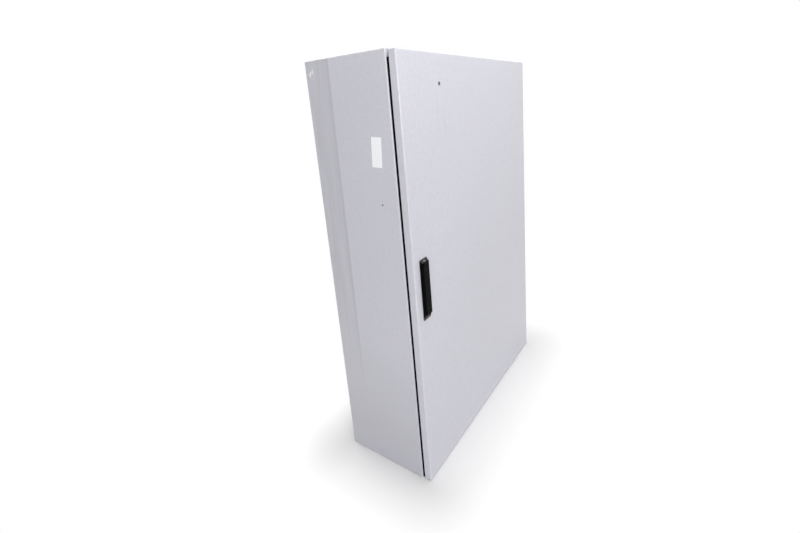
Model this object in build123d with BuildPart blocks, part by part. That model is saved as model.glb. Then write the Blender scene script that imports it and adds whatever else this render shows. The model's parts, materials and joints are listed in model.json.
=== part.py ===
from build123d import *
import os
from math import cos, radians, sin

# Sheet-steel wall cabinet with a hinged door and a lift-and-turn rod lock, all sizes in millimetres
# x runs to the right seen from the front, y to the back, z up, from the middle of the footprint

# Cabinet body
width = 800.0
height = 1200.0
depth = 300.0
body_sheet = 1.5
body_corner = 4.0
body_fold = 2.5
rim_width = 22.0
lip_height = 16.0
lip_corner = 6.0
wall_hole_radius = 4.5
wall_hole_inset = 35.0
rim_seal_width = 10.0
rim_seal_from_side = 3.6
rim_seal_from_end = 20.0
rim_seal_from_floor = 6.0
rim_seal_from_hinge = 40.0

# Door
door_sheet = 2.0
door_depth = 20.8
door_gap = 7.2
door_inset = 3.0
door_corner = 4.6
door_fold = 3.6
gasket_width = 12.0
gasket_crown = 3.0
rail_width = 25.0
rail_depth = 15.0
rail_sheet = 1.5
rail_from_side = 92.0
rail_from_end = 75.0
rail_hole_radius = 3.2
rail_hole_pitch = 40.0

# Clearances
clearance = 0.3
fit_clearance = 0.05
hole_clearance = 0.4
overrun = 5.0

# Hinges
hinge_length = 60.0
hinge_from_end = 130.0
hinge_from_side = 4.5
hinge_setback = 2.3
hinge_pin_radius = 2.25
hinge_pin_head_radius = 3.4
hinge_pin_head = 1.5
knuckle_radius = 4.2
knuckle_share = 0.4
leaf_sheet = 2.5
leaf_margin = 0.5
leaf_arm_clear = 1.2
leaf_arm_width = 2.4
door_leaf_margin = 2.5
notch_depth = 7.3
notch_gap = 3.0
hinge_stud_radius = 2.0
hinge_stud_share = 0.6
hinge_nut_flats = 7.0
hinge_nut_height = 3.2
hinge_stud_end = 0.6

# Mounting plate
plate_sheet = 3.0
plate_from_side = 50.0
plate_from_end = 45.0
plate_fold = 12.0
plate_fold_radius = 4.0
plate_stand_off = 18.0
plate_stud_inset = 35.0
plate_stud_radius = 4.0
spacer_radius = 8.0

# Eight millimetre nuts
nut_flats = 13.0
nut_height = 8.0
nut_flange_radius = 9.0
nut_flange = 1.8
stud_end = 3.0

# Cable entry
gland_width = 560.0
gland_length = 100.0
gland_corner = 8.0
gland_from_rear = 32.0
gland_border = 22.0
gland_sheet = 1.5
gland_gasket_sheet = 2.0
gland_stud_radius = 3.0
gland_stud_columns = 4
gland_nut_flats = 10.0
gland_nut_height = 6.0
gland_nut_flange_radius = 7.0
gland_nut_flange = 1.5

# Earth studs
earth_from_side = 60.0
earth_from_front = 45.0
door_earth_from_side = 160.0
door_earth_from_end = 70.0
earth_washer_radius = 10.0
earth_washer = 2.0

# Handle
handle_from_side = 45.5
handle_middle = 592.5
base_width = 33.0
base_length = 173.0
base_thickness = 4.0
base_corner = 2.5
base_bevel = 0.8
base_end = 1.2
base_top_slope = 5.0
base_bottom_slope = 13.0
spindle_from_top = 16.5
lever_width = 26.4
lever_thickness = 6.2
lever_from_end = 16.0
lever_corner = 2.5
lever_draft = 8.0
lever_edge = 0.8
lever_top_bevel = 2.2
lever_pin_rise = 9.0
lever_pin_radius = 1.2
lever_pin_inset = 1.2
heel_radius = 3.0
heel_slot_lead = 0.7
lug_width = 9.0
lug_radius = 2.0
lug_pocket_below = 4.5
scoop_length = 16.0
scoop_depth = 2.6
bearing_radius = 8.0
bearing_length = 14.0
boss_radius = 3.4
boss_length = 4.0
boss_hole_radius = 1.8
boss_hole_depth = 5.5

# Lock plug
plug_from_pin = 20.0
plug_radius = 5.0
plug_flange_radius = 6.0
plug_flange = 1.2
plug_setback = 0.4
key_slot_width = 1.6
key_slot_length = 6.5
key_slot_depth = 3.0

# Clamp plate behind the door
clamp_sheet = 2.0
clamp_width = 30.0
clamp_margin = 4.0
clamp_screw_from_end = 24.0
clamp_screw_spacing = 96.0
clamp_screw_head_radius = 4.2
clamp_screw_head = 2.8

# Spindle, cam and rods
spindle_radius = 5.0
spindle_head_radius = 12.4
spindle_head = 2.6
spindle_head_sink = 0.2
spindle_collar_radius = 7.0
spindle_collar = 1.6
spindle_square = 6.8
cam_setback = 32.0
cam_sheet = 3.0
cam_hub_radius = 10.0
cam_bar_width = 12.0
cam_rest_angle = 45.0
cam_swing = 16.0
cam_tongue_length = 36.0
cam_tongue_width = 14.0
cam_tongue_corner = 3.0
cam_pin_radius = 3.0
cam_pin_head_radius = 4.6
cam_pin_head = 1.2
cam_bolt_radius = 2.5
cam_bolt_depth = 12.0
cam_bolt_flange_radius = 5.0
cam_bolt_flange = 1.0
cam_bolt_flats = 8.0
cam_bolt_head = 3.0
rod_gap = 0.5
rod_sheet = 3.0
rod_width = 12.0
rod_corner = 3.5
rod_rest_gap = 10.0
yoke_width = 16.0
yoke_length = 30.0
yoke_below = 9.0
slot_play = 0.6

# Rod guides
guide_sheet = 2.5
guide_wall = 2.0
guide_leg_width = 11.0
guide_foot_length = 16.0
guide_from_end = 75.0
guide_share = 0.5

# Places that follow from the sizes
door_front = -depth / 2
door_inside = door_front + door_sheet
door_rear = door_front + door_depth
body_front = door_rear + door_gap
body_rear = depth / 2
body_depth = body_rear - body_front
rear_inside = body_rear - body_sheet
lip_front = body_front - lip_height
door_width = width - 2 * door_inset
door_height = height - 2 * door_inset
door_right = width / 2 - door_inset
flange_inside = door_right - door_sheet
pan_width = door_width - 2 * door_sheet
pan_height = door_height - 2 * door_sheet


# Views to draw in, and the way each node is written
def front_view(y):
    return Plane(origin=(0, y, 0), x_dir=(1, 0, 0), z_dir=(0, -1, 0))


def rear_view(y):
    return Plane(origin=(0, y, 0), x_dir=(-1, 0, 0), z_dir=(0, 1, 0))


def plan_view(z):
    return Plane.XY.offset(z)


def side_view(x):
    return Plane.YZ.offset(x)


os.makedirs("parts", exist_ok=True)


def keep(builder, name):
    builder.part.label = name
    export_step(builder.part, f"parts/{name}.step")


# Fasteners, as groups of equal pieces on one plane
def stud_group(plane, places, radius, length):
    with BuildPart() as studs:
        with BuildSketch(plane):
            with Locations(*places):
                Circle(radius)
        extrude(amount=length)
    return studs


def nut_group(plane, places, bore, flats, tall, flange_radius, flange):
    with BuildPart() as nuts:
        with BuildSketch(plane):
            with Locations(*places):
                Circle(flange_radius)
        extrude(amount=flange)
        with BuildSketch(plane):
            with Locations(*places):
                RegularPolygon(flats / 2, 6, major_radius=False, rotation=30)
        extrude(amount=tall)
        with BuildSketch(plane):
            with Locations(*places):
                Circle(bore + fit_clearance)
        extrude(amount=tall, mode=Mode.SUBTRACT)
    return nuts


# Enclosure body
gland_y = body_rear - gland_from_rear - gland_length / 2
opening_width = width - 2 * rim_width
opening_height = height - 2 * rim_width
lip_outside_width = opening_width + 2 * body_sheet
lip_outside_height = opening_height + 2 * body_sheet

with BuildPart() as enclosure_body:
    with BuildSketch(front_view(body_rear)):
        with Locations((0, height / 2)):
            RectangleRounded(width, height, body_corner)
    extrude(amount=body_depth)
    fillet(faces().sort_by(Axis.Y)[0].edges(), body_fold)
    fillet(faces().sort_by(Axis.Y)[-1].edges(), body_fold)
    # hollow inside
    with BuildSketch(front_view(rear_inside)):
        with Locations((0, height / 2)):
            RectangleRounded(width - 2 * body_sheet, height - 2 * body_sheet, body_corner - body_sheet)
    extrude(amount=body_depth - 2 * body_sheet, mode=Mode.SUBTRACT)
    # door opening with its lip
    with BuildSketch(front_view(body_front + body_sheet)):
        with Locations((0, height / 2)):
            RectangleRounded(opening_width, opening_height, lip_corner - body_sheet)
    extrude(amount=body_sheet + overrun, mode=Mode.SUBTRACT)
    with BuildSketch(front_view(body_front + body_sheet)):
        with Locations((0, height / 2)):
            RectangleRounded(lip_outside_width, lip_outside_height, lip_corner)
            RectangleRounded(opening_width, opening_height, lip_corner - body_sheet, mode=Mode.SUBTRACT)
    extrude(amount=body_sheet + lip_height)
    # wall holes
    with BuildSketch(front_view(body_rear)):
        with Locations((0, height / 2)):
            with GridLocations(width - 2 * wall_hole_inset, height - 2 * wall_hole_inset, 2, 2):
                Circle(wall_hole_radius)
    extrude(amount=body_sheet + overrun, mode=Mode.SUBTRACT)
    # cable entry in the floor
    with BuildSketch(plan_view(0)):
        with Locations((0, gland_y)):
            RectangleRounded(gland_width, gland_length, gland_corner)
    extrude(amount=body_sheet + overrun, mode=Mode.SUBTRACT)
keep(enclosure_body, "enclosure_body")

# Dark foam strips on the rim, in the gap behind the door's edge
seal_strip_x = -width / 2 + rim_seal_from_side
seal_strip_z = height - rim_seal_from_side - rim_seal_width
seal_strip_height = height - rim_seal_from_floor - rim_seal_from_end
seal_strip_length = width - rim_seal_from_end - rim_seal_from_hinge
seal_end_x = -width / 2 + rim_seal_from_end

with BuildPart() as rim_seal:
    with BuildSketch(front_view(body_front)):
        with Locations((seal_strip_x, rim_seal_from_floor)):
            Rectangle(rim_seal_width, seal_strip_height, align=(Align.MIN, Align.MIN))
        with Locations((seal_end_x, seal_strip_z), (seal_end_x, rim_seal_from_side)):
            Rectangle(seal_strip_length, rim_seal_width, align=(Align.MIN, Align.MIN))
    extrude(amount=door_gap - clearance)
keep(rim_seal, "rim_seal")

# Mounting plate on four welded studs
plate_width = width - 2 * plate_from_side
plate_height = height - 2 * plate_from_end
plate_back = rear_inside - plate_stand_off
plate_front = plate_back - plate_sheet
plate_places = [
    (side * (plate_width / 2 - plate_stud_inset), height / 2 + end * (plate_height / 2 - plate_stud_inset))
    for side in (-1, 1)
    for end in (-1, 1)
]

with BuildPart() as mounting_plate:
    with BuildSketch(plan_view(plate_from_end)):
        with Locations((0, plate_front)):
            Rectangle(plate_width, plate_sheet + plate_fold, align=(Align.CENTER, Align.MIN))
        fillet(vertices().group_by(Axis.Y)[0], plate_fold_radius)
        with Locations((0, plate_back)):
            Rectangle(
                plate_width - 2 * plate_sheet, plate_fold, align=(Align.CENTER, Align.MIN), mode=Mode.SUBTRACT
            )
    extrude(amount=plate_height)
    with BuildSketch(front_view(plate_back)):
        with Locations(*plate_places):
            Circle(plate_stud_radius + hole_clearance)
    extrude(amount=plate_sheet + overrun, mode=Mode.SUBTRACT)
keep(mounting_plate, "mounting_plate")

plate_stud_length = plate_stand_off + plate_sheet + nut_height + stud_end
plate_studs = stud_group(front_view(rear_inside), plate_places, plate_stud_radius, plate_stud_length)
keep(plate_studs, "plate_studs")

with BuildPart() as plate_spacers:
    with BuildSketch(front_view(rear_inside)):
        with Locations(*plate_places):
            Circle(spacer_radius)
            Circle(plate_stud_radius + fit_clearance, mode=Mode.SUBTRACT)
    extrude(amount=plate_stand_off)
keep(plate_spacers, "plate_spacers")

plate_nuts = nut_group(
    front_view(plate_front), plate_places, plate_stud_radius,
    nut_flats, nut_height, nut_flange_radius, nut_flange,
)
keep(plate_nuts, "plate_nuts")

# Gland plate over the cable entry
gland_places = [
    (
        (column / (gland_stud_columns - 1) - 1 / 2) * (gland_width + gland_border),
        gland_y + side * (gland_length + gland_border) / 2,
    )
    for column in range(gland_stud_columns)
    for side in (-1, 1)
]

with BuildPart() as gland_gasket:
    with BuildSketch(plan_view(body_sheet)):
        with Locations((0, gland_y)):
            RectangleRounded(gland_width + 2 * gland_border, gland_length + 2 * gland_border, gland_corner)
            RectangleRounded(gland_width, gland_length, gland_corner, mode=Mode.SUBTRACT)
        with Locations(*gland_places):
            Circle(gland_stud_radius + hole_clearance, mode=Mode.SUBTRACT)
    extrude(amount=gland_gasket_sheet)
keep(gland_gasket, "gland_gasket")

gland_bottom = body_sheet + gland_gasket_sheet
gland_top = gland_bottom + gland_sheet

with BuildPart() as gland_plate:
    with BuildSketch(plan_view(gland_bottom)):
        with Locations((0, gland_y)):
            RectangleRounded(gland_width + 2 * gland_border, gland_length + 2 * gland_border, gland_corner)
        with Locations(*gland_places):
            Circle(gland_stud_radius + hole_clearance, mode=Mode.SUBTRACT)
    extrude(amount=gland_sheet)
keep(gland_plate, "gland_plate")

gland_stud_length = gland_gasket_sheet + gland_sheet + gland_nut_height + stud_end
gland_studs = stud_group(plan_view(body_sheet), gland_places, gland_stud_radius, gland_stud_length)
keep(gland_studs, "gland_studs")

gland_nuts = nut_group(
    plan_view(gland_top),
    gland_places,
    gland_stud_radius,
    gland_nut_flats,
    gland_nut_height,
    gland_nut_flange_radius,
    gland_nut_flange,
)
keep(gland_nuts, "gland_nuts")

# Earth studs on the body's floor and on the door
earth_length = earth_washer + nut_height + stud_end
body_earth_places = [(-width / 2 + earth_from_side, body_front + earth_from_front)]
door_earth_places = [(width / 2 - door_earth_from_side, door_earth_from_end)]

body_earth_stud = stud_group(plan_view(body_sheet), body_earth_places, plate_stud_radius, earth_length)
keep(body_earth_stud, "body_earth_stud")
body_earth_nut = nut_group(
    plan_view(body_sheet),
    body_earth_places,
    plate_stud_radius,
    nut_flats,
    nut_height,
    earth_washer_radius,
    earth_washer,
)
keep(body_earth_nut, "body_earth_nut")

door_earth_stud = stud_group(rear_view(door_inside), door_earth_places, plate_stud_radius, earth_length)
keep(door_earth_stud, "door_earth_stud")
door_earth_nut = nut_group(
    rear_view(door_inside),
    door_earth_places,
    plate_stud_radius,
    nut_flats,
    nut_height,
    earth_washer_radius,
    earth_washer,
)
keep(door_earth_nut, "door_earth_nut")

# Hinges on the right side
hinge_x = door_right - hinge_from_side
hinge_y = door_rear - hinge_setback
knuckle_length = knuckle_share * hinge_length
end_length = (hinge_length - knuckle_length) / 2
leaf_inner = width / 2 - rim_width + body_sheet + leaf_margin
leaf_outer = hinge_x - leaf_arm_clear
leaf_stud_x = (leaf_inner + leaf_outer - leaf_arm_width) / 2
door_leaf_front = door_inside + door_leaf_margin
door_leaf_stud_y = (door_leaf_front + hinge_y - knuckle_radius) / 2
hinge_heights = {"bottom": hinge_from_end, "middle": height / 2, "top": height - hinge_from_end}
stud_offsets = [side * hinge_stud_share * hinge_length / 2 for side in (-1, 1)]
hinge_stud_heights = [z + offset for z in hinge_heights.values() for offset in stud_offsets]

for spot, middle in hinge_heights.items():
    bottom = middle - hinge_length / 2
    with BuildPart() as body_leaf:
        with BuildSketch(plan_view(bottom)):
            with Locations((hinge_x, hinge_y)):
                Circle(knuckle_radius)
            with Locations((leaf_outer, hinge_y)):
                Rectangle(leaf_arm_width, body_front - hinge_y, align=(Align.MAX, Align.MIN))
            with Locations((leaf_outer, body_front)):
                Rectangle(leaf_outer - leaf_inner, leaf_sheet, align=(Align.MAX, Align.MAX))
        extrude(amount=hinge_length)
        with BuildSketch(plan_view(bottom + end_length)):
            with Locations((hinge_x, hinge_y)):
                Circle(knuckle_radius + clearance)
        extrude(amount=knuckle_length, mode=Mode.SUBTRACT)
        with BuildSketch(plan_view(bottom)):
            with Locations((hinge_x, hinge_y)):
                Circle(hinge_pin_radius + fit_clearance)
        extrude(amount=hinge_length, mode=Mode.SUBTRACT)
        with BuildSketch(front_view(body_front)):
            with Locations(*[(leaf_stud_x, middle + offset) for offset in stud_offsets]):
                Circle(hinge_stud_radius + fit_clearance)
        extrude(amount=leaf_sheet, mode=Mode.SUBTRACT)
    keep(body_leaf, f"hinge_{spot}_body_leaf")

    with BuildPart() as door_leaf:
        with BuildSketch(plan_view(bottom)):
            with Locations((hinge_x, hinge_y)):
                Circle(knuckle_radius)
            with Locations((flange_inside, door_leaf_front)):
                Rectangle(leaf_sheet, hinge_y - door_leaf_front, align=(Align.MAX, Align.MIN))
        extrude(amount=hinge_length)
        for end_bottom in (bottom, bottom + end_length + knuckle_length - clearance):
            with BuildSketch(plan_view(end_bottom)):
                with Locations((hinge_x, hinge_y)):
                    Circle(knuckle_radius + clearance)
            extrude(amount=end_length + clearance, mode=Mode.SUBTRACT)
        with BuildSketch(plan_view(bottom)):
            with Locations((hinge_x, hinge_y)):
                Circle(hinge_pin_radius + fit_clearance)
        extrude(amount=hinge_length, mode=Mode.SUBTRACT)
        with BuildSketch(side_view(flange_inside - leaf_sheet)):
            with Locations(*[(door_leaf_stud_y, middle + offset) for offset in stud_offsets]):
                Circle(hinge_stud_radius + fit_clearance)
        extrude(amount=leaf_sheet, mode=Mode.SUBTRACT)
    keep(door_leaf, f"hinge_{spot}_door_leaf")

    with BuildPart() as hinge_pin:
        with BuildSketch(plan_view(bottom)):
            with Locations((hinge_x, hinge_y)):
                Circle(hinge_pin_radius)
        extrude(amount=hinge_length)
        with BuildSketch(plan_view(bottom + hinge_length)):
            with Locations((hinge_x, hinge_y)):
                Circle(hinge_pin_head_radius)
        extrude(amount=hinge_pin_head)
    keep(hinge_pin, f"hinge_{spot}_pin")

hinge_stud_length = leaf_sheet + hinge_nut_height + hinge_stud_end
hinge_nut_corner = hinge_nut_flats / 2
body_stud_places = [(leaf_stud_x, z) for z in hinge_stud_heights]
hinge_body_studs = stud_group(front_view(body_front), body_stud_places, hinge_stud_radius, hinge_stud_length)
keep(hinge_body_studs, "hinge_body_studs")
hinge_body_nuts = nut_group(
    front_view(body_front - leaf_sheet),
    body_stud_places,
    hinge_stud_radius,
    hinge_nut_flats,
    hinge_nut_height,
    hinge_nut_corner,
    hinge_stud_end,
)
keep(hinge_body_nuts, "hinge_body_nuts")

flange_view = Plane(origin=(flange_inside, 0, 0), x_dir=(0, -1, 0), z_dir=(-1, 0, 0))
door_stud_places = [(-door_leaf_stud_y, z) for z in hinge_stud_heights]
hinge_door_studs = stud_group(flange_view, door_stud_places, hinge_stud_radius, hinge_stud_length)
keep(hinge_door_studs, "hinge_door_studs")
hinge_door_nuts = nut_group(
    flange_view.offset(leaf_sheet),
    door_stud_places,
    hinge_stud_radius,
    hinge_nut_flats,
    hinge_nut_height,
    hinge_nut_corner,
    hinge_stud_end,
)
keep(hinge_door_nuts, "hinge_door_nuts")

# Places of the handle and the lock
handle_x = -width / 2 + handle_from_side
base_bottom = handle_middle - base_length / 2
base_top = handle_middle + base_length / 2
spindle_z = base_top - spindle_from_top
base_front = door_front - base_thickness
lever_back = base_front - clearance
lever_front = lever_back - lever_thickness
lever_bottom = base_bottom + lever_from_end
lever_pin_y = lever_back - heel_radius
lever_pin_z = spindle_z + lever_pin_rise
lever_top = lever_pin_z + heel_radius
plug_z = lever_pin_z - plug_from_pin
head_front = base_front + spindle_head_sink
head_back = head_front + spindle_head
bearing_back = door_front + bearing_length
screw_places = [
    (handle_x, base_bottom + clamp_screw_from_end),
    (handle_x, base_bottom + clamp_screw_from_end + clamp_screw_spacing),
]

# Door panel, folded into a shallow pan
with BuildPart() as door_panel:
    with BuildSketch(front_view(door_rear)):
        with Locations((0, height / 2)):
            RectangleRounded(door_width, door_height, door_corner)
    extrude(amount=door_depth)
    fillet(faces().sort_by(Axis.Y)[0].edges(), door_fold)
    with BuildSketch(front_view(door_rear)):
        with Locations((0, height / 2)):
            RectangleRounded(pan_width, pan_height, door_corner - door_sheet)
    extrude(amount=door_depth - door_sheet, mode=Mode.SUBTRACT)
    # notches for the hinge knuckles
    with BuildSketch(side_view(flange_inside - overrun)):
        with Locations(*[(door_rear, z) for z in hinge_heights.values()]):
            Rectangle(notch_depth, hinge_length + 2 * notch_gap, align=(Align.MAX, Align.CENTER))
    extrude(amount=door_sheet + 2 * overrun, mode=Mode.SUBTRACT)
    # holes for the handle
    with BuildSketch(front_view(door_inside)):
        with Locations((handle_x, spindle_z)):
            Circle(bearing_radius + clearance)
        with Locations(*screw_places):
            Circle(boss_radius + clearance)
    extrude(amount=door_sheet + overrun, mode=Mode.SUBTRACT)
keep(door_panel, "door_panel")

# Foam gasket that meets the body's lip
gasket_rear = lip_front - clearance
gasket_margin = rim_width - body_sheet / 2 - gasket_width / 2

with BuildPart() as door_gasket:
    with BuildSketch(front_view(gasket_rear)):
        with Locations((0, height / 2)):
            RectangleRounded(width - 2 * gasket_margin, height - 2 * gasket_margin, gasket_width)
            RectangleRounded(
                width - 2 * (gasket_margin + gasket_width),
                height - 2 * (gasket_margin + gasket_width),
                lip_corner - body_sheet,
                mode=Mode.SUBTRACT,
            )
    extrude(amount=gasket_rear - door_inside)
    fillet(faces().sort_by(Axis.Y)[-1].edges(), gasket_crown)
keep(door_gasket, "door_gasket")

# Perforated rails inside the door
rail_length = height - 2 * rail_from_end
rail_holes = int((rail_length - rail_hole_pitch) // rail_hole_pitch) + 1

for side, sign in (("left", -1), ("right", 1)):
    rail_x = sign * (width / 2 - rail_from_side)
    with BuildPart() as door_rail:
        with BuildSketch(plan_view(rail_from_end)):
            with Locations((rail_x, door_inside)):
                Rectangle(rail_width, rail_depth, align=(Align.CENTER, Align.MIN))
            fillet(vertices().group_by(Axis.Y)[-1], rail_sheet)
            with Locations((rail_x, door_inside)):
                Rectangle(
                    rail_width - 2 * rail_sheet,
                    rail_depth - rail_sheet,
                    align=(Align.CENTER, Align.MIN),
                    mode=Mode.SUBTRACT,
                )
        extrude(amount=rail_length)
        with BuildSketch(front_view(door_inside + rail_depth)):
            with Locations((rail_x, height / 2)):
                with GridLocations(0, rail_hole_pitch, 1, rail_holes):
                    Circle(rail_hole_radius)
        extrude(amount=rail_sheet + overrun, mode=Mode.SUBTRACT)
    keep(door_rail, f"door_rail_{side}")

# Handle base, sloped at both ends
base_end_front = door_front - base_end
base_slopes = ((base_top, base_top - base_top_slope), (base_bottom, base_bottom + base_bottom_slope))

with BuildPart() as handle_base:
    with BuildSketch(front_view(door_front)):
        with Locations((handle_x, handle_middle)):
            RectangleRounded(base_width, base_length, base_corner)
    extrude(amount=base_thickness)
    for end, slope_start in base_slopes:
        with BuildSketch(side_view(handle_x - base_width / 2 - overrun)):
            with BuildLine():
                Polyline((base_front, slope_start), (base_front, end), (base_end_front, end), close=True)
            make_face()
        extrude(amount=base_width + 2 * overrun, mode=Mode.SUBTRACT)
    chamfer(faces().sort_by(Axis.Y)[0].edges().filter_by(Axis.Z), base_bevel)
    # bearing of the spindle, and bosses for the screws
    with BuildSketch(front_view(bearing_back)):
        with Locations((handle_x, spindle_z)):
            Circle(bearing_radius)
    extrude(amount=bearing_length)
    with BuildSketch(front_view(door_front + boss_length)):
        with Locations(*screw_places):
            Circle(boss_radius)
    extrude(amount=boss_length)
    with BuildSketch(front_view(head_back + fit_clearance)):
        with Locations((handle_x, spindle_z)):
            Circle(spindle_head_radius + hole_clearance)
    extrude(amount=spindle_head + overrun, mode=Mode.SUBTRACT)
    with BuildSketch(front_view(bearing_back)):
        with Locations((handle_x, spindle_z)):
            Circle(spindle_radius + fit_clearance)
    extrude(amount=bearing_length + base_thickness, mode=Mode.SUBTRACT)
    with BuildSketch(front_view(door_front + boss_length)):
        with Locations(*screw_places):
            Circle(boss_hole_radius + fit_clearance)
    extrude(amount=boss_hole_depth, mode=Mode.SUBTRACT)
keep(handle_base, "handle_base")

# Lever, lifted about its pin and turned with the spindle
with BuildPart() as handle_lever:
    with BuildSketch(front_view(lever_back)):
        with Locations((handle_x, (lever_bottom + lever_top) / 2)):
            RectangleRounded(lever_width, lever_top - lever_bottom, lever_corner)
    extrude(amount=lever_thickness, taper=lever_draft)
    fillet(faces().sort_by(Axis.Y)[0].edges(), lever_edge)
    # bevel across the top
    with BuildSketch(side_view(handle_x - lever_width / 2 - overrun)):
        with BuildLine():
            Polyline(
                (lever_front, lever_top - lever_top_bevel),
                (lever_front, lever_top),
                (lever_front + lever_top_bevel, lever_top),
                close=True,
            )
        make_face()
    extrude(amount=lever_width + 2 * overrun, mode=Mode.SUBTRACT)
    # heel rounded about the pin, so that it clears the base when lifted
    with BuildSketch(side_view(handle_x - lever_width / 2 - overrun)):
        with Locations((lever_pin_y, lever_pin_z)):
            Rectangle(heel_radius + overrun, heel_radius + overrun, align=(Align.MIN, Align.MIN))
            Circle(heel_radius, mode=Mode.SUBTRACT)
    extrude(amount=lever_width + 2 * overrun, mode=Mode.SUBTRACT)
    # pocket for the spindle's lug
    with BuildSketch(side_view(handle_x - lug_width / 2 - clearance)):
        with Locations((lever_pin_y, lever_pin_z)):
            Circle(lug_radius + clearance)
        with Locations((lever_pin_y - heel_slot_lead, lever_pin_z)):
            Rectangle(heel_radius + overrun, heel_radius + overrun, align=(Align.MIN, Align.MIN))
        with Locations((lever_pin_y - lug_radius, lever_pin_z)):
            Rectangle(lug_radius + heel_radius + overrun, lug_pocket_below, align=(Align.MIN, Align.MAX))
    extrude(amount=lug_width + 2 * clearance, mode=Mode.SUBTRACT)
    # pin hole from side to side
    with BuildSketch(side_view(handle_x - lever_width / 2 - overrun)):
        with Locations((lever_pin_y, lever_pin_z)):
            Circle(lever_pin_radius + fit_clearance)
    extrude(amount=lever_width + 2 * overrun, mode=Mode.SUBTRACT)
    # seat of the lock plug
    with BuildSketch(front_view(lever_back)):
        with Locations((handle_x, plug_z)):
            Circle(plug_radius + fit_clearance)
    extrude(amount=lever_thickness + overrun, mode=Mode.SUBTRACT)
    with BuildSketch(front_view(lever_back)):
        with Locations((handle_x, plug_z)):
            Circle(plug_flange_radius + hole_clearance)
    extrude(amount=plug_setback + plug_flange + fit_clearance, mode=Mode.SUBTRACT)
    # finger scoop under the free end
    with BuildSketch(side_view(handle_x - lever_width / 2 - overrun)):
        with BuildLine():
            Polyline(
                (lever_back, lever_bottom),
                (lever_back, lever_bottom + scoop_length),
                (lever_back - scoop_depth, lever_bottom),
                close=True,
            )
        make_face()
    extrude(amount=lever_width + 2 * overrun, mode=Mode.SUBTRACT)
keep(handle_lever, "handle_lever")

lever_pin_half = lever_width / 2 - lever_pin_inset

with BuildPart() as lever_pin:
    with BuildSketch(side_view(handle_x - lever_pin_half)):
        with Locations((lever_pin_y, lever_pin_z)):
            Circle(lever_pin_radius)
    extrude(amount=2 * lever_pin_half)
keep(lever_pin, "lever_pin")

# Spindle with its lug, square tang and bolt hole
cam_front = door_front + cam_setback
cam_back = cam_front + cam_sheet

with BuildPart() as spindle:
    with BuildSketch(front_view(cam_front)):
        with Locations((handle_x, spindle_z)):
            Circle(spindle_radius)
    extrude(amount=cam_front - head_front)
    with BuildSketch(front_view(head_back)):
        with Locations((handle_x, spindle_z)):
            Circle(spindle_head_radius)
    extrude(amount=spindle_head)
    with BuildSketch(front_view(bearing_back + clearance + spindle_collar)):
        with Locations((handle_x, spindle_z)):
            Circle(spindle_collar_radius)
    extrude(amount=spindle_collar)
    with BuildSketch(side_view(handle_x - lug_width / 2)):
        with Locations((lever_pin_y, lever_pin_z)):
            Circle(lug_radius)
            Rectangle(head_front - lever_pin_y, 2 * lug_radius, align=(Align.MIN, Align.CENTER))
    extrude(amount=lug_width)
    with BuildSketch(side_view(handle_x - lug_width / 2)):
        with Locations((lever_pin_y, lever_pin_z)):
            Circle(lever_pin_radius + fit_clearance)
    extrude(amount=lug_width, mode=Mode.SUBTRACT)
    with BuildSketch(front_view(cam_back)):
        with Locations((handle_x, spindle_z)):
            Rectangle(spindle_square, spindle_square)
    extrude(amount=cam_sheet)
    with BuildSketch(front_view(cam_back)):
        with Locations((handle_x, spindle_z)):
            Circle(cam_bolt_radius + fit_clearance)
    extrude(amount=cam_bolt_depth, mode=Mode.SUBTRACT)
keep(spindle, "spindle")

# Cam on the tang, with a tongue and two pins that drive the rods
swing_side = cam_swing * cos(radians(cam_rest_angle))
swing_rise = cam_swing * sin(radians(cam_rest_angle))
cam_pin_places = [(handle_x + sign * swing_side, spindle_z - sign * swing_rise) for sign in (-1, 1)]

with BuildPart() as lock_cam:
    with BuildSketch(front_view(cam_back)):
        with Locations((handle_x, spindle_z)):
            Circle(cam_hub_radius)
            SlotCenterToCenter(2 * cam_swing, cam_bar_width, rotation=-cam_rest_angle)
        with Locations((handle_x, spindle_z + cam_tongue_length / 2)):
            RectangleRounded(cam_tongue_width, cam_tongue_length, cam_tongue_corner)
        with Locations((handle_x, spindle_z)):
            Rectangle(
                spindle_square + 2 * fit_clearance, spindle_square + 2 * fit_clearance, mode=Mode.SUBTRACT
            )
    extrude(amount=cam_sheet)
keep(lock_cam, "lock_cam")

rod_front = cam_back + rod_gap
rod_back = rod_front + rod_sheet

with BuildPart() as cam_pins:
    with BuildSketch(front_view(rod_back + rod_gap)):
        with Locations(*cam_pin_places):
            Circle(cam_pin_radius)
    extrude(amount=rod_back + rod_gap - cam_back)
    with BuildSketch(front_view(rod_back + rod_gap + cam_pin_head)):
        with Locations(*cam_pin_places):
            Circle(cam_pin_head_radius)
    extrude(amount=cam_pin_head)
keep(cam_pins, "cam_pins")

with BuildPart() as cam_bolt:
    with BuildSketch(front_view(cam_back + cam_bolt_flange)):
        with Locations((handle_x, spindle_z)):
            Circle(cam_bolt_flange_radius)
    extrude(amount=cam_bolt_flange)
    with BuildSketch(front_view(cam_back + cam_bolt_flange + cam_bolt_head)):
        with Locations((handle_x, spindle_z)):
            RegularPolygon(cam_bolt_flats / 2, 6, major_radius=False)
    extrude(amount=cam_bolt_head)
    with BuildSketch(front_view(cam_back)):
        with Locations((handle_x, spindle_z)):
            Circle(cam_bolt_radius)
    extrude(amount=cam_bolt_depth - fit_clearance)
keep(cam_bolt, "cam_bolt")

# Rods, each with a cross slot for its cam pin, drawn back at rest
rod_from_spindle = (cam_swing + swing_side) / 2
slot_width = cam_swing - swing_side + 2 * (cam_pin_radius + slot_play)
slot_height = 2 * (cam_pin_radius + slot_play)
rod_end_gap = rim_width + rod_rest_gap

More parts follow.
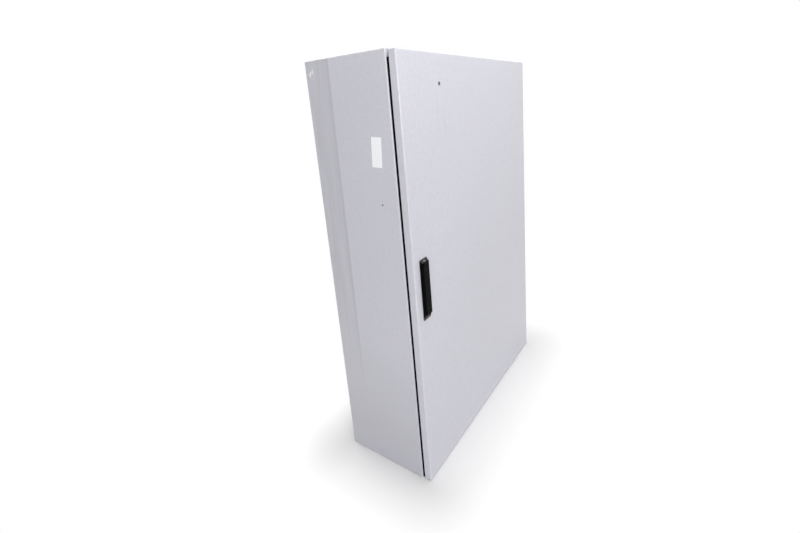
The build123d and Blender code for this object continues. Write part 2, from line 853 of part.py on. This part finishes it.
for name, sign, tip in (("upper", 1, height - rod_end_gap), ("lower", -1, rod_end_gap)):
    rod_x = handle_x + sign * rod_from_spindle
    slot_z = spindle_z - sign * swing_rise
    yoke_end = slot_z - sign * (slot_height / 2 + yoke_below)
    with BuildPart() as rod:
        with BuildSketch(front_view(rod_back)):
            with Locations((rod_x, (yoke_end + tip) / 2)):
                Rectangle(rod_width, abs(tip - yoke_end))
            tip_corners = vertices().sort_by(Axis.Y, reverse=sign > 0)[:2]
            fillet(tip_corners, rod_corner)
            with Locations((rod_x, yoke_end + sign * yoke_length / 2)):
                RectangleRounded(yoke_width, yoke_length, rod_corner / 2)
            with Locations((rod_x, slot_z)):
                Rectangle(slot_width, slot_height, mode=Mode.SUBTRACT)
        extrude(amount=rod_sheet)
    keep(rod, f"{name}_rod")

    # guides of this rod, welded to the door
    end_guide = tip - sign * (guide_from_end - rod_end_gap)
    near_guide = slot_z + guide_share * (end_guide - slot_z)
    for spot, guide_z in (("end", end_guide), ("near", near_guide)):
        head_half = rod_width / 2 + clearance + guide_wall
        head_start = rod_front - clearance - guide_wall
        head_depth = rod_sheet + 2 * (clearance + guide_wall)
        with BuildPart() as guide:
            with BuildSketch(plan_view(guide_z)):
                with Locations((rod_x, head_start)):
                    Rectangle(2 * head_half, head_depth, align=(Align.CENTER, Align.MIN))
                with Locations((rod_x + head_half, door_inside)):
                    Rectangle(guide_leg_width, head_start - door_inside, align=(Align.MAX, Align.MIN))
                with Locations((rod_x, rod_front - clearance)):
                    Rectangle(
                        rod_width + 2 * clearance,
                        rod_sheet + 2 * clearance,
                        align=(Align.CENTER, Align.MIN),
                        mode=Mode.SUBTRACT,
                    )
            extrude(amount=guide_sheet)
            with BuildSketch(plan_view(guide_z)):
                with Locations((rod_x + head_half, door_inside)):
                    Rectangle(guide_leg_width, guide_sheet, align=(Align.MAX, Align.MIN))
            extrude(amount=guide_foot_length)
        keep(guide, f"{name}_rod_{spot}_guide")

# Clamp plate and screws that hold the handle base to the door
clamp_bottom = base_bottom + clamp_margin
clamp_top = spindle_z - bearing_radius - clamp_margin

with BuildPart() as clamp_plate:
    with BuildSketch(front_view(door_inside + clamp_sheet)):
        with Locations((handle_x, (clamp_bottom + clamp_top) / 2)):
            RectangleRounded(clamp_width, clamp_top - clamp_bottom, clamp_margin)
        with Locations(*screw_places):
            Circle(boss_radius + clearance, mode=Mode.SUBTRACT)
    extrude(amount=clamp_sheet)
keep(clamp_plate, "clamp_plate")

with BuildPart() as clamp_screws:
    with BuildSketch(front_view(door_inside + clamp_sheet + clamp_screw_head)):
        with Locations(*screw_places):
            Circle(clamp_screw_head_radius)
    extrude(amount=clamp_screw_head)
    with BuildSketch(front_view(door_inside + clamp_sheet)):
        with Locations(*screw_places):
            Circle(boss_hole_radius)
    extrude(amount=boss_hole_depth - fit_clearance)
keep(clamp_screws, "clamp_screws")

# Lock plug with its key slot, turning in the lever
plug_back = lever_back - plug_setback
plug_front = lever_front + plug_setback

with BuildPart() as lock_plug:
    with BuildSketch(front_view(plug_back)):
        with Locations((handle_x, plug_z)):
            Circle(plug_radius)
    extrude(amount=plug_back - plug_front)
    with BuildSketch(front_view(plug_back)):
        with Locations((handle_x, plug_z)):
            Circle(plug_flange_radius)
    extrude(amount=plug_flange)
    with BuildSketch(front_view(plug_front + key_slot_depth)):
        with Locations((handle_x, plug_z)):
            Rectangle(key_slot_width, key_slot_length)
    extrude(amount=key_slot_depth, mode=Mode.SUBTRACT)
keep(lock_plug, "lock_plug")
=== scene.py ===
import json
from math import radians

import bmesh
import bpy
from mathutils import Matrix, Vector


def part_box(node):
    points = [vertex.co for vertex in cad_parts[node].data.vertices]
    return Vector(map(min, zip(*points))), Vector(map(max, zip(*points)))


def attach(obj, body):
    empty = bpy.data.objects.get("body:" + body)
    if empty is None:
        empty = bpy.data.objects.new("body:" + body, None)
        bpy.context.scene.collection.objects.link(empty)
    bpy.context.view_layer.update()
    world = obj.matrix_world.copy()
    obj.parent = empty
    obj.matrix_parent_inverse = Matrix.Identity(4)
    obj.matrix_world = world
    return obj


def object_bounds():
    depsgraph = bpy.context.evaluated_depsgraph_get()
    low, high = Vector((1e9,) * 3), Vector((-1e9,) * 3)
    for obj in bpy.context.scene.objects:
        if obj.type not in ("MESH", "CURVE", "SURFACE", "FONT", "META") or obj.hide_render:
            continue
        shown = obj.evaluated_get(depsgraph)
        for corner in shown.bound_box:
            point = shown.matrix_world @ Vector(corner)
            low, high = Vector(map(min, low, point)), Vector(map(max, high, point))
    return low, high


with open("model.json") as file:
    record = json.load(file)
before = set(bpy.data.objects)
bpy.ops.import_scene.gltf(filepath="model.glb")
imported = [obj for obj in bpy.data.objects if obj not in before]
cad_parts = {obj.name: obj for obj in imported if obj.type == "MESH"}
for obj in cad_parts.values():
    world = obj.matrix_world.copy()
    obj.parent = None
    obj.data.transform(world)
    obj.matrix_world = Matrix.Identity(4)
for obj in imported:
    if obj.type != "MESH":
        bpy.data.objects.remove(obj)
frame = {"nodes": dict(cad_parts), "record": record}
cad_low, cad_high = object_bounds()
scene = bpy.context.scene

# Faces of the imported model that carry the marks, in metres
side_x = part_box("enclosure_body")[0].x
door_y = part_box("door_panel")[0].y
handle_low, handle_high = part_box("handle_base")
handle_x = (handle_low.x + handle_high.x) / 2

WHITE = (1.0, 1.0, 1.0, 1.0)

# Sockets of the colour mix, by number, because its names repeat
MIX_SHARE, MIX_ONE, MIX_OTHER, MIX_RESULT = 0, 6, 7, 2


# Shader tools
def new_finish(name):
    finish = bpy.data.materials.new(name)
    finish.use_nodes = True
    place = add(finish, "ShaderNodeTexCoord", {}).outputs["Object"]
    return finish, finish.node_tree.nodes["Principled BSDF"], place


def add(finish, kind, inputs, **settings):
    """One shader node, with its inputs set to values or linked to other nodes' outputs."""
    node = finish.node_tree.nodes.new(kind)
    for name, value in settings.items():
        setattr(node, name, value)
    for key, value in inputs.items():
        if isinstance(value, bpy.types.NodeSocket):
            finish.node_tree.links.new(value, node.inputs[key])
        else:
            node.inputs[key].default_value = value
    return node


def join(finish, value, shader, socket):
    finish.node_tree.links.new(value, shader.inputs[socket])


def numbers(finish, operation, *values):
    node = add(finish, "ShaderNodeMath", dict(enumerate(values)), operation=operation)
    return node.outputs["Value"]


def vectors(finish, operation, *values, result="Vector"):
    node = add(finish, "ShaderNodeVectorMath", dict(enumerate(values)), operation=operation)
    return node.outputs[result]


def multiply(finish, one, other):
    return numbers(finish, "MULTIPLY", one, other)


def larger(finish, one, other):
    return numbers(finish, "MAXIMUM", one, other)


def noise(finish, place, scale, detail=3.0, roughness=0.55):
    inputs = {"Vector": place, "Scale": scale, "Detail": detail, "Roughness": roughness}
    return add(finish, "ShaderNodeTexNoise", inputs).outputs["Fac"]


def spread(finish, value, low, high, to_low=0.0, to_high=1.0):
    """The value's range from low to high, spread over another range and held at its ends."""
    inputs = {"Value": value, "From Min": low, "From Max": high, "To Min": to_low, "To Max": to_high}
    return add(finish, "ShaderNodeMapRange", inputs).outputs["Result"]


def blend(finish, share, one, other):
    """One colour, which gives way to the other as the share goes from 0 to 1."""
    inputs = {MIX_SHARE: share, MIX_ONE: one, MIX_OTHER: other}
    return add(finish, "ShaderNodeMix", inputs, data_type="RGBA").outputs[MIX_RESULT]


def shade(grey, factor):
    return [factor * channel for channel in grey] + [1.0]


def roughen(finish, shader, height, strength, distance):
    inputs = {"Height": height, "Strength": strength, "Distance": distance}
    join(finish, add(finish, "ShaderNodeBump", inputs).outputs["Normal"], shader, "Normal")


def mark(finish, place, middle, half, edge=0.5):
    """A soft oval patch around a point of the part, 1 inside and 0 outside."""
    off = vectors(finish, "SUBTRACT", place, middle)
    scaled = vectors(finish, "MULTIPLY", off, [1 / size for size in half])
    return spread(finish, vectors(finish, "LENGTH", scaled, result="Value"), 1.0, edge)


def marks(finish, place, patches, edge):
    """Several patches as one."""
    share = mark(finish, place, *patches[0], edge)
    for middle, half in patches[1:]:
        share = larger(finish, share, mark(finish, place, middle, half, edge))
    return share


# Marks in the coat, each by its middle and its half sizes
MARK_DEPTH = 0.0012


def on_door(x, z, half_width, half_height):
    return (x, door_y, z), (half_width, MARK_DEPTH, half_height)


def on_side(y, z, half_width, half_height):
    return (side_x, y, z), (MARK_DEPTH, half_width, half_height)


CHIPS = [
    on_door(-0.2195, 1.1190, 0.0064, 0.0062),
    on_side(-0.071, 0.828, 0.0030, 0.0026),
]
RUBS = [
    on_door(-0.236, 1.0565, 0.0020, 0.042),
    on_door(-0.203, 1.0205, 0.0020, 0.036),
    on_door(0.270, 1.041, 0.007, 0.009),
    on_door(0.267, 0.985, 0.0030, 0.045),
    on_door(-0.150, 0.235, 0.034, 0.0025),
]
# painted highlight: a white glint near the top rear of the left side
PAINTED_GLINT = on_side(0.127, 1.164, 0.013, 0.018)
CHIP_BROWN = (0.055, 0.050, 0.047, 1.0)
RUB_GREY = (0.30, 0.29, 0.29, 1.0)
GLINT_WHITE = (0.86, 0.86, 0.88, 1.0)

# The painted reflection band and the painted shade at the foot of the left side: from where to where they
# come in, in metres
SIDE_SKIN = (side_x + 0.0015, side_x + 0.0005)
BAND_LEAN = 0.0075
BAND_START = (0.0700, 0.0745)
BAND_FRONT_LINE = (0.092, 0.077)
BAND_HEIGHT = (0.15, 0.60)
FOOT_SHADE_HEIGHT = (0.40, 0.12)
BAND_GRAIN = (1.0, 1.0, 0.08)
GLINT_GRAIN = (1.0, 1.0, 0.35)


def side_painted_reflection_and_shade(finish, place):
    """A darker streaky strip along the rear of the left side, which is a painted reflection, and painted
    shade towards the side's foot.
    """
    axes = add(finish, "ShaderNodeSeparateXYZ", {"Vector": place}).outputs
    lean = numbers(finish, "MULTIPLY_ADD", axes["Z"], BAND_LEAN, axes["Y"])
    # painted reflection: a darker streaky band along the rear of the side, leaning and fading towards the
    # bottom
    grain = noise(finish, vectors(finish, "MULTIPLY", place, BAND_GRAIN), 48.0, detail=5.0, roughness=0.6)
    streak = spread(finish, grain, 0.35, 0.65, to_low=0.30, to_high=0.80)
    front_line = spread(finish, lean, *BAND_FRONT_LINE)
    fading = spread(finish, axes["Z"], *BAND_HEIGHT, to_low=0.30)
    reflection_band = multiply(finish, spread(finish, lean, *BAND_START), fading)
    reflection_band = multiply(finish, reflection_band, larger(finish, streak, front_line))
    # painted shade: the left side darker towards the floor
    foot_shade = spread(finish, axes["Z"], *FOOT_SHADE_HEIGHT, to_high=0.72)
    return multiply(finish, spread(finish, axes["X"], *SIDE_SKIN), larger(finish, reflection_band, foot_shade))


def powder_coat(name, grey):
    """Light grey coat with a fine grain, the marks of its use, and painted reflection, shade and glint on
    the left side.
    """
    finish, shader, place = new_finish(name)
    cloud = noise(finish, place, 2.6, detail=5.0)
    colour = blend(finish, cloud, shade(grey, 0.95), shade(grey, 1.05))
    speck = spread(finish, noise(finish, place, 340.0, detail=2.0), 0.66, 0.76, to_high=0.10)
    colour = blend(finish, speck, colour, shade(grey, 0.84))
    mottle = spread(finish, noise(finish, place, 135.0, roughness=0.6), 0.30, 0.70, to_high=0.50)
    colour = blend(finish, mottle, colour, shade(grey, 0.86))
    # painted reflection band and painted shade at the foot of the left side, in a darker grey
    colour = blend(finish, side_painted_reflection_and_shade(finish, place), colour, shade(grey, 0.79))
    # painted glint near the top rear of the left side, rubs and chips
    glint_streaks = noise(finish, vectors(finish, "MULTIPLY", place, GLINT_GRAIN), 170.0, roughness=0.6)
    glint = multiply(finish, mark(finish, place, *PAINTED_GLINT), spread(finish, glint_streaks, 0.52, 0.60))
    colour = blend(finish, glint, colour, GLINT_WHITE)
    ragged = spread(finish, noise(finish, place, 420.0), 0.35, 0.60, to_high=0.60)
    rub = multiply(finish, marks(finish, place, RUBS, edge=0.1), ragged)
    colour = blend(finish, rub, colour, RUB_GREY)
    broken = spread(finish, noise(finish, place, 600.0, detail=2.0), 0.28, 0.42)
    chip = multiply(finish, marks(finish, place, CHIPS, edge=0.7), broken)
    colour = blend(finish, chip, colour, CHIP_BROWN)
    join(finish, colour, shader, "Base Color")
    smear = spread(finish, noise(finish, place, 7.0, detail=4.0), 0.0, 1.0, to_low=0.20, to_high=0.265)
    join(finish, smear, shader, "Roughness")
    roughen(finish, shader, noise(finish, place, 620.0, detail=2.0), strength=0.03, distance=0.0004)
    return finish


# Plated metals
def plated_sheet(name, grey):
    """Zinc-plated sheet with its flakes."""
    finish, shader, place = new_finish(name)
    flake = add(finish, "ShaderNodeTexVoronoi", {"Vector": place, "Scale": 46.0, "Randomness": 1.0})
    tone = add(finish, "ShaderNodeSeparateColor", {"Color": flake.outputs["Color"]}).outputs["Red"]
    join(finish, blend(finish, tone, shade(grey, 0.88), shade(grey, 1.06)), shader, "Base Color")
    dull = spread(finish, noise(finish, place, 60.0), 0.3, 0.7, to_low=0.34, to_high=0.46)
    join(finish, dull, shader, "Roughness")
    shader.inputs["Metallic"].default_value = 1.0
    roughen(finish, shader, noise(finish, place, 300.0), strength=0.05, distance=0.0003)
    return finish


def plated_steel(name, grey):
    """Bright plated fasteners, leaves and rods."""
    finish, shader, place = new_finish(name)
    tone = spread(finish, noise(finish, place, 150.0, detail=4.0), 0.3, 0.7)
    join(finish, blend(finish, tone, shade(grey, 0.86), shade(grey, 1.08)), shader, "Base Color")
    dull = spread(finish, noise(finish, place, 480.0), 0.3, 0.7, to_low=0.24, to_high=0.36)
    join(finish, dull, shader, "Roughness")
    shader.inputs["Metallic"].default_value = 1.0
    return finish


# Black handle, with a painted highlight on its top and a painted brown reflection at its toe
TOP_HIGHLIGHT_RISE = 0.001
HANDLE_TOP_HIGHLIGHT = ((handle_x, handle_low.y, handle_high.z + TOP_HIGHLIGHT_RISE), (0.030, 0.012, 0.011))
HANDLE_TOE_REFLECTION = ((handle_x, door_y, handle_low.z), (0.030, 0.012, 0.013))
TOP_HIGHLIGHT_GREY = (0.085, 0.085, 0.090, 1.0)
TOE_REFLECTION_BROWN = (0.150, 0.125, 0.110, 1.0)
BLUE_TINT = (1.0, 1.0, 1.1)


def black_finish(name, dark, pale, smooth, rough):
    finish, shader, place = new_finish(name)
    tone = spread(finish, noise(finish, place, 90.0, detail=4.0), 0.3, 0.7)
    colour = blend(finish, tone, shade(BLUE_TINT, dark), shade(BLUE_TINT, pale))
    patchy = spread(finish, noise(finish, place, 210.0), 0.3, 0.6, to_low=0.5)
    # painted highlight: a lighter grey on the top facet of the handle
    top_highlight = multiply(finish, mark(finish, place, *HANDLE_TOP_HIGHLIGHT), patchy)
    colour = blend(finish, top_highlight, colour, TOP_HIGHLIGHT_GREY)
    # painted reflection: a warm brown on the toe of the handle
    toe_reflection = multiply(finish, mark(finish, place, *HANDLE_TOE_REFLECTION), patchy)
    colour = blend(finish, toe_reflection, colour, TOE_REFLECTION_BROWN)
    join(finish, colour, shader, "Base Color")
    dull = spread(finish, noise(finish, place, 260.0), 0.3, 0.7, to_low=smooth, to_high=rough)
    join(finish, dull, shader, "Roughness")
    shader.inputs["Specular IOR Level"].default_value = 0.025
    roughen(finish, shader, noise(finish, place, 2600.0, detail=2.0), strength=0.12, distance=0.0002)
    return finish


# Foam, near black: the door gasket's own colour, and on the rim seal strips painted shade in the door gap;
# and paper
GAP_SHADE_FOAM_DARK = (0.002, 0.002, 0.002, 1.0)
GAP_SHADE_FOAM_PALE = (0.007, 0.007, 0.0075, 1.0)
PAPER_DARK = (0.90, 0.91, 0.94, 1.0)
PAPER_PALE = (0.94, 0.95, 0.97, 1.0)


# near-black foam: the door gasket's own colour, and on the rim seal strips a dark sheet for painted shade
# in the door gap
def foam(name):
    finish, shader, place = new_finish(name)
    cells = noise(finish, place, 1400.0, detail=2.0)
    colour = blend(finish, spread(finish, cells, 0.35, 0.70), GAP_SHADE_FOAM_DARK, GAP_SHADE_FOAM_PALE)
    join(finish, colour, shader, "Base Color")
    shader.inputs["Roughness"].default_value = 0.9
    shader.inputs["Specular IOR Level"].default_value = 0.03
    roughen(finish, shader, cells, strength=0.4, distance=0.0004)
    return finish


def sticker_paper(name):
    finish, shader, place = new_finish(name)
    fibres = spread(finish, noise(finish, place, 240.0, detail=5.0), 0.3, 0.7)
    join(finish, blend(finish, fibres, PAPER_DARK, PAPER_PALE), shader, "Base Color")
    shader.inputs["Roughness"].default_value = 0.6
    return finish


finishes = {
    "grey_coat": powder_coat("grey_coat", (0.601, 0.597, 0.655)),
    "zinc_sheet": plated_sheet("zinc_sheet", (0.60, 0.61, 0.62)),
    "plated_steel": plated_steel("plated_steel", (0.56, 0.56, 0.55)),
    "black_handle": black_finish("black_handle", dark=0.002, pale=0.004, smooth=0.30, rough=0.40),
    "foam": foam("foam"),
    "dark_plug": black_finish("dark_plug", dark=0.010, pale=0.018, smooth=0.22, rough=0.30),
}
for subpart in frame["record"]["subparts"]:
    node = frame["nodes"][subpart["node"]]
    node.data.materials.clear()
    node.data.materials.append(finishes[subpart["material_slot"]])


# The one piece that only the looks need
def mesh_object(name, shape, material):
    mesh = bpy.data.meshes.new(name)
    shape.to_mesh(mesh)
    shape.free()
    mesh.materials.append(material)
    piece = bpy.data.objects.new(name, mesh)
    scene.collection.objects.link(piece)
    return piece


def blank_sticker():
    """A plain white label on the left side, a little crooked."""
    thick, broad, tall, corner = 0.0002, 0.032, 0.076, 0.002
    middle_y, middle_z, turn = -0.068, 0.962, radians(3.8)
    shape = bmesh.new()
    bmesh.ops.create_cube(shape, size=1.0)
    bmesh.ops.scale(shape, vec=(thick, broad, tall), verts=shape.verts)
    along = [e for e in shape.edges if abs((e.verts[0].co - e.verts[1].co).x) > thick / 2]
    bmesh.ops.bevel(shape, geom=along, offset=corner, affect="EDGES", segments=4, profile=0.5, material=-1)
    bmesh.ops.rotate(shape, cent=(0, 0, 0), matrix=Matrix.Rotation(turn, 3, "X"), verts=shape.verts)
    bmesh.ops.translate(shape, vec=(side_x - thick / 2, middle_y, middle_z), verts=shape.verts)
    sticker = mesh_object("blank_sticker", shape, sticker_paper("sticker_paper"))
    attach(sticker, "cabinet")


# Stage, light and camera
FLOOR_HALF = 40.0
FLOOR_FADE = 0.16
FLOOR_DARK = (0.90, 0.90, 0.90, 1.0)
FLOOR_PALE = (0.92, 0.92, 0.92, 1.0)


def floor_finish(name):
    """Pale floor that runs out into the white of the background."""
    finish, shader, place = new_finish(name)
    cloud = spread(finish, noise(finish, place, 4.0), 0.3, 0.7)
    join(finish, blend(finish, cloud, FLOOR_DARK, FLOOR_PALE), shader, "Base Color")
    shader.inputs["Roughness"].default_value = 0.8
    shader.inputs["Specular IOR Level"].default_value = 0.1
    outward = vectors(finish, "SUBTRACT", vectors(finish, "ABSOLUTE", place), cad_high)
    outward = vectors(finish, "MAXIMUM", outward, (0, 0, 0))
    far = spread(finish, vectors(finish, "LENGTH", outward, result="Value"), 0.0, FLOOR_FADE)
    rays = add(finish, "ShaderNodeLightPath", {}).outputs
    seen = larger(finish, rays["Is Camera Ray"], rays["Is Glossy Ray"])
    white = add(finish, "ShaderNodeEmission", {"Color": WHITE, "Strength": 1.0}).outputs["Emission"]
    both = {"Fac": multiply(finish, far, seen), 1: shader.outputs["BSDF"], 2: white}
    mixed = add(finish, "ShaderNodeMixShader", both).outputs["Shader"]
    join(finish, mixed, finish.node_tree.nodes["Material Output"], "Surface")
    return finish


def pale_floor():
    shape = bmesh.new()
    bmesh.ops.create_grid(shape, x_segments=1, y_segments=1, size=FLOOR_HALF)
    floor = mesh_object("pale_floor", shape, floor_finish("pale_floor"))


def white_surroundings(light_level):
    """White wherever it is seen, and a weaker light on the part."""
    world = bpy.data.worlds.new("white_surroundings")
    world.use_nodes = True
    rays = add(world, "ShaderNodeLightPath", {}).outputs
    seen = larger(world, rays["Is Camera Ray"], rays["Is Transmission Ray"])
    seen = larger(world, seen, rays["Is Glossy Ray"])
    background = world.node_tree.nodes["Background"]
    background.inputs["Color"].default_value = WHITE
    join(world, spread(world, seen, 0.0, 1.0, to_low=light_level), background, "Strength")
    scene.world = world


def soft_box(name, place, aim, size, power):
    lamp = bpy.data.lights.new(name, "AREA")
    lamp.shape = "RECTANGLE"
    lamp.size, lamp.size_y = size
    lamp.energy = power
    holder = bpy.data.objects.new(name, lamp)
    scene.collection.objects.link(holder)
    holder.location = place
    holder.rotation_mode = "QUATERNION"
    holder.rotation_quaternion = (Vector(aim) - Vector(place)).to_track_quat("-Z", "Y")


def photo_camera():
    """The photograph's place, turn and lens, from the cabinet's corners in it."""
    place = (-1.1662, -0.7266, 1.0711)
    right = Vector((0.5532, -0.8299, -0.0720)).normalized()
    up = Vector((0.2341, 0.0720, 0.9695))
    up = (up - right * up.dot(right)).normalized()
    turn = Matrix((right, up, right.cross(up))).transposed()
    lens = bpy.data.cameras.new("photo_camera")
    lens.sensor_width, lens.lens = 36.0, 18.29
    lens.shift_x, lens.shift_y = -0.0290, -0.0811
    lens.clip_start, lens.clip_end = 0.05, 100.0
    camera = bpy.data.objects.new("photo_camera", lens)
    scene.collection.objects.link(camera)
    camera.matrix_world = Matrix.Translation(place) @ turn.to_4x4()
    scene.camera = camera


SOFT_BOXES = {
    "front_left_softbox": {
        "place": (-3.65, -3.45, 2.4), "aim": (-0.2, -0.1, 0.7), "size": (4.6, 4.2), "power": 220.0,
    },
    "front_top_softbox": {
        "place": (-0.2, -0.8, 2.1), "aim": (-0.1, -0.15, 1.0), "size": (1.8, 0.7), "power": 12.0,
    },
    "right_softbox": {
        "place": (3.0, -0.5, 2.6), "aim": (0.3, -0.1, 0.8), "size": (2.0, 2.0), "power": 26.0,
    },
    "rear_softbox": {
        "place": (1.5, 3.6, 2.4), "aim": (0.1, 0.1, 0.6), "size": (3.6, 3.6), "power": 72.0,
    },
}

blank_sticker()
pale_floor()
white_surroundings(light_level=0.13)
for name, settings in SOFT_BOXES.items():
    soft_box(name, **settings)
photo_camera()
scene.view_settings.view_transform = "Standard"
